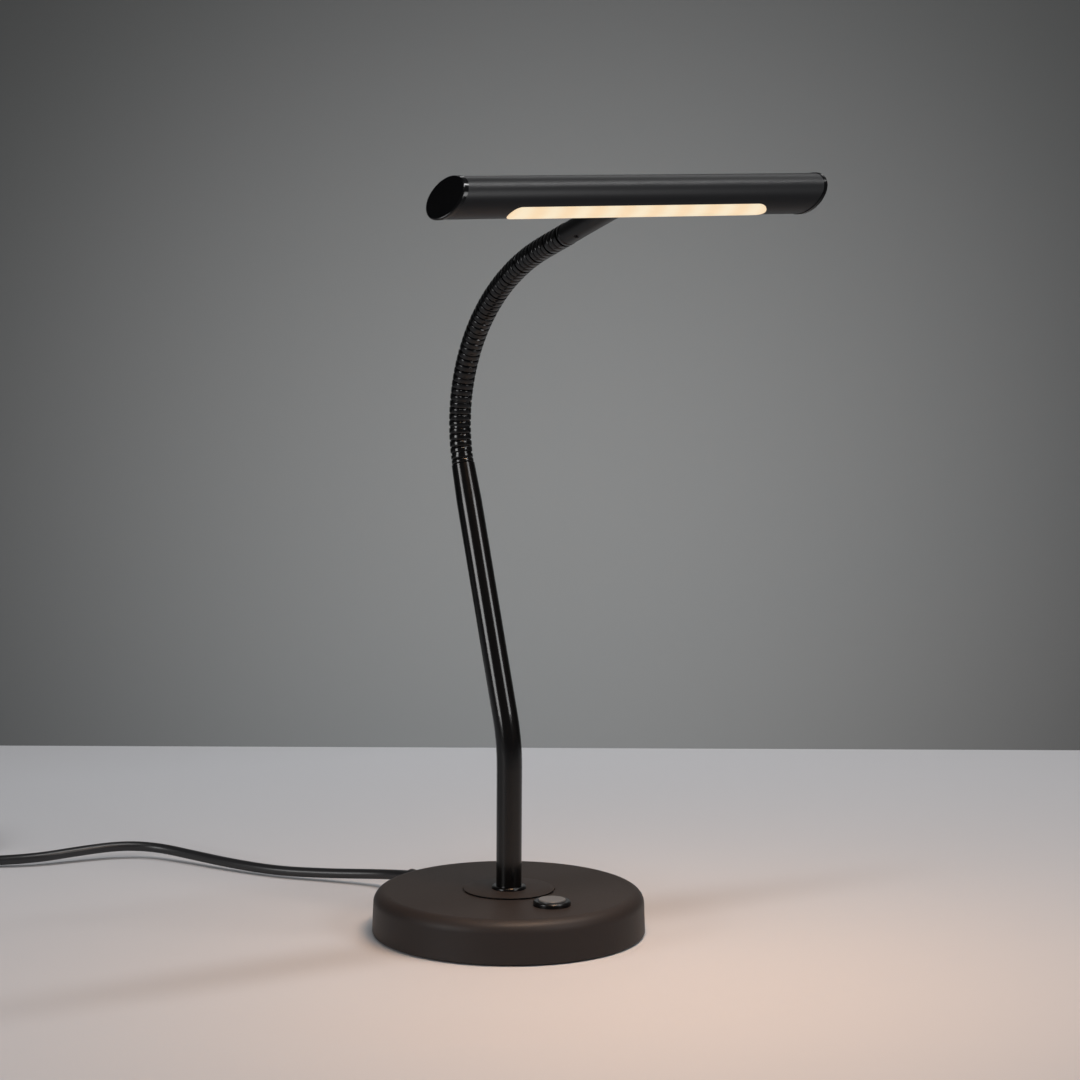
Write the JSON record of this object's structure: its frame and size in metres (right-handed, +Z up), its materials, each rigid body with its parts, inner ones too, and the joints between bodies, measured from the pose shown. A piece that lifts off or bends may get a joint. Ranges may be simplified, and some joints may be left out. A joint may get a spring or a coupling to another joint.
{
  "type": "piano lamp",
  "caption": "Piano lamp with a weighted round foot, push switch, bent stem, bending neck of ribbed ball-joint sleeves and a slim tubular light head with slanted ends.",
  "frame": {"origin": "on the surface the lamp stands on, at the centre of the round foot, which is also the stem's axis at its lower end", "axes": "+Z up; the light head runs along X; the light, the switch and the neck's curve face -Y; the mains lead leaves the foot towards +Y"},
  "size_m": [0.3606, 0.6317, 0.4169],
  "materials": {
    "satin_black_shell": "textured satin powder coat, brown black",
    "gloss_black_metal": "gloss black lacquer",
    "satin_black_metal": "satin black paint",
    "zinc_steel": "zinc plated steel",
    "cast_weight": "as-cast iron",
    "pad_rubber": "matt foam rubber",
    "black_plastic": "fine matt black plastic",
    "gloss_plastic": "gloss black plastic",
    "cord_pvc": "satin black cord sheath",
    "tie_band": "woven hook-and-loop band",
    "pin_nickel": "bright nickel plate",
    "spring_steel": "bright spring wire",
    "aluminium_plate": "brushed mill finish",
    "opal_diffuser": "opal milky acrylic",
    "led_white": "phosphor resin over white package",
    "board_laminate": "green solder mask",
    "led_laminate": "white solder mask",
    "part_resin": "moulded component resin",
    "terminal_nylon": "natural nylon",
    "wire_insulation": "wire insulation"
  },
  "bodies": {
    "base": {"foot_pad": "pad_rubber", "base_plate": "zinc_steel", "plate_screws": "zinc_steel", "base_weight": "cast_weight", "base_shell": "satin_black_shell", "hub_disc": "satin_black_shell", "stem_collar": "gloss_black_metal", "stem_nipple": "zinc_steel", "nipple_nut": "zinc_steel", "nipple_washer": "zinc_steel", "stem_insert": "zinc_steel", "stem_tube": "gloss_black_metal", "stem_lead": "wire_insulation", "neck_anchor": "gloss_black_metal", "switch_bezel": "gloss_plastic", "switch_ring_nut": "black_plastic", "switch_body": "black_plastic", "switch_spring": "spring_steel", "driver_board": "board_laminate", "driver_screws": "zinc_steel", "driver_parts": "part_resin", "cord_gland": "black_plastic", "cord_clamp": "black_plastic", "clamp_screws": "zinc_steel", "terminal_block": "terminal_nylon", "base_wires": "wire_insulation", "cord_inner": "cord_pvc", "cord": "cord_pvc", "cord_coil": "cord_pvc", "cord_tail": "cord_pvc", "cord_tie": "tie_band", "plug_body": "black_plastic", "plug_pins": "pin_nickel"},
    "button": {"switch_button": "gloss_plastic"},
    "neck_link_01": {"neck_link_01": "gloss_black_metal"},
    "neck_link_02": {"neck_link_02": "gloss_black_metal"},
    "neck_link_03": {"neck_link_03": "gloss_black_metal"},
    "neck_link_04": {"neck_link_04": "gloss_black_metal"},
    "neck_link_05": {"neck_link_05": "gloss_black_metal"},
    "neck_link_06": {"neck_link_06": "gloss_black_metal"},
    "neck_link_07": {"neck_link_07": "gloss_black_metal"},
    "neck_link_08": {"neck_link_08": "gloss_black_metal"},
    "neck_link_09": {"neck_link_09": "gloss_black_metal"},
    "neck_link_10": {"neck_link_10": "gloss_black_metal"},
    "neck_link_11": {"neck_link_11": "gloss_black_metal"},
    "neck_link_12": {"neck_link_12": "gloss_black_metal"},
    "head": {"neck_ferrule": "gloss_black_metal", "ferrule_grub_screw": "zinc_steel", "head_socket": "gloss_black_metal", "saddle_washer": "zinc_steel", "head_nut": "zinc_steel", "head_lead": "wire_insulation", "head_tube": "satin_black_metal", "end_cap_left": "gloss_black_metal", "end_cap_right": "gloss_black_metal", "led_carrier": "aluminium_plate", "led_board": "led_laminate", "led_chips": "led_white", "board_screws": "zinc_steel", "diffuser": "opal_diffuser"}
  },
  "joints": [
    {"name": "neck_bend_00", "type": "hinge", "parent": "base", "child": "neck_link_01", "pos_m": [0, 0.05032, 0.25987], "axis": [1, 0, 0], "range_deg": [-10, 8]},
    {"name": "neck_bend_01", "type": "hinge", "parent": "neck_link_01", "child": "neck_link_02", "pos_m": [0, 0.0521, 0.27464], "axis": [1, 0, 0], "range_deg": [-10, 8]},
    {"name": "neck_side_02", "type": "hinge", "parent": "neck_link_02", "child": "neck_link_03", "pos_m": [0, 0.05112, 0.28947], "axis": [0, 0.9884, 0.1517], "range_deg": [-12, 12]},
    {"name": "neck_bend_03", "type": "hinge", "parent": "neck_link_03", "child": "neck_link_04", "pos_m": [0, 0.0476, 0.30392], "axis": [1, 0, 0], "range_deg": [-10, 8]},
    {"name": "neck_bend_04", "type": "hinge", "parent": "neck_link_04", "child": "neck_link_05", "pos_m": [0, 0.04179, 0.31761], "axis": [1, 0, 0], "range_deg": [-10, 8]},
    {"name": "neck_side_05", "type": "hinge", "parent": "neck_link_05", "child": "neck_link_06", "pos_m": [0, 0.03397, 0.33026], "axis": [0, 0.812, 0.5836], "range_deg": [-12, 12]},
    {"name": "neck_bend_06", "type": "hinge", "parent": "neck_link_06", "child": "neck_link_07", "pos_m": [0, 0.02447, 0.3417], "axis": [1, 0, 0], "range_deg": [-10, 8]},
    {"name": "neck_bend_07", "type": "hinge", "parent": "neck_link_07", "child": "neck_link_08", "pos_m": [0, 0.01358, 0.35182], "axis": [1, 0, 0], "range_deg": [-10, 8]},
    {"name": "neck_side_08", "type": "hinge", "parent": "neck_link_08", "child": "neck_link_09", "pos_m": [0, 0.00158, 0.3606], "axis": [0, 0.5467, 0.8374], "range_deg": [-12, 12]},
    {"name": "neck_bend_09", "type": "hinge", "parent": "neck_link_09", "child": "neck_link_10", "pos_m": [0, -0.01129, 0.36805], "axis": [1, 0, 0], "range_deg": [-10, 8]},
    {"name": "neck_bend_10", "type": "hinge", "parent": "neck_link_10", "child": "neck_link_11", "pos_m": [0, -0.0248, 0.37426], "axis": [1, 0, 0], "range_deg": [-10, 8]},
    {"name": "neck_side_11", "type": "hinge", "parent": "neck_link_11", "child": "neck_link_12", "pos_m": [0, -0.03879, 0.37932], "axis": [0, 0.3401, 0.9404], "range_deg": [-12, 12]},
    {"name": "neck_bend_12", "type": "hinge", "parent": "neck_link_12", "child": "head", "pos_m": [0, -0.05277, 0.38437], "axis": [1, 0, 0], "range_deg": [-10, 8]},
    {"name": "switch_press", "type": "slide", "parent": "base", "child": "button", "axis": [0, 0, -1], "range_m": [0, 0.0015], "stiffness_N_per_m": 800, "deforming": ["switch_spring"]}
  ],
  "couplings": [
    {"joint": "neck_bend_01", "follows": "neck_bend_00", "ratio": 1},
    {"joint": "neck_bend_03", "follows": "neck_bend_00", "ratio": 1},
    {"joint": "neck_bend_04", "follows": "neck_bend_00", "ratio": 1},
    {"joint": "neck_side_05", "follows": "neck_side_02", "ratio": 1},
    {"joint": "neck_bend_06", "follows": "neck_bend_00", "ratio": 1},
    {"joint": "neck_side_08", "follows": "neck_side_02", "ratio": 1},
    {"joint": "neck_bend_09", "follows": "neck_bend_07", "ratio": 1},
    {"joint": "neck_bend_10", "follows": "neck_bend_07", "ratio": 1},
    {"joint": "neck_side_11", "follows": "neck_side_02", "ratio": 1},
    {"joint": "neck_bend_12", "follows": "neck_bend_07", "ratio": 1}
  ]
}
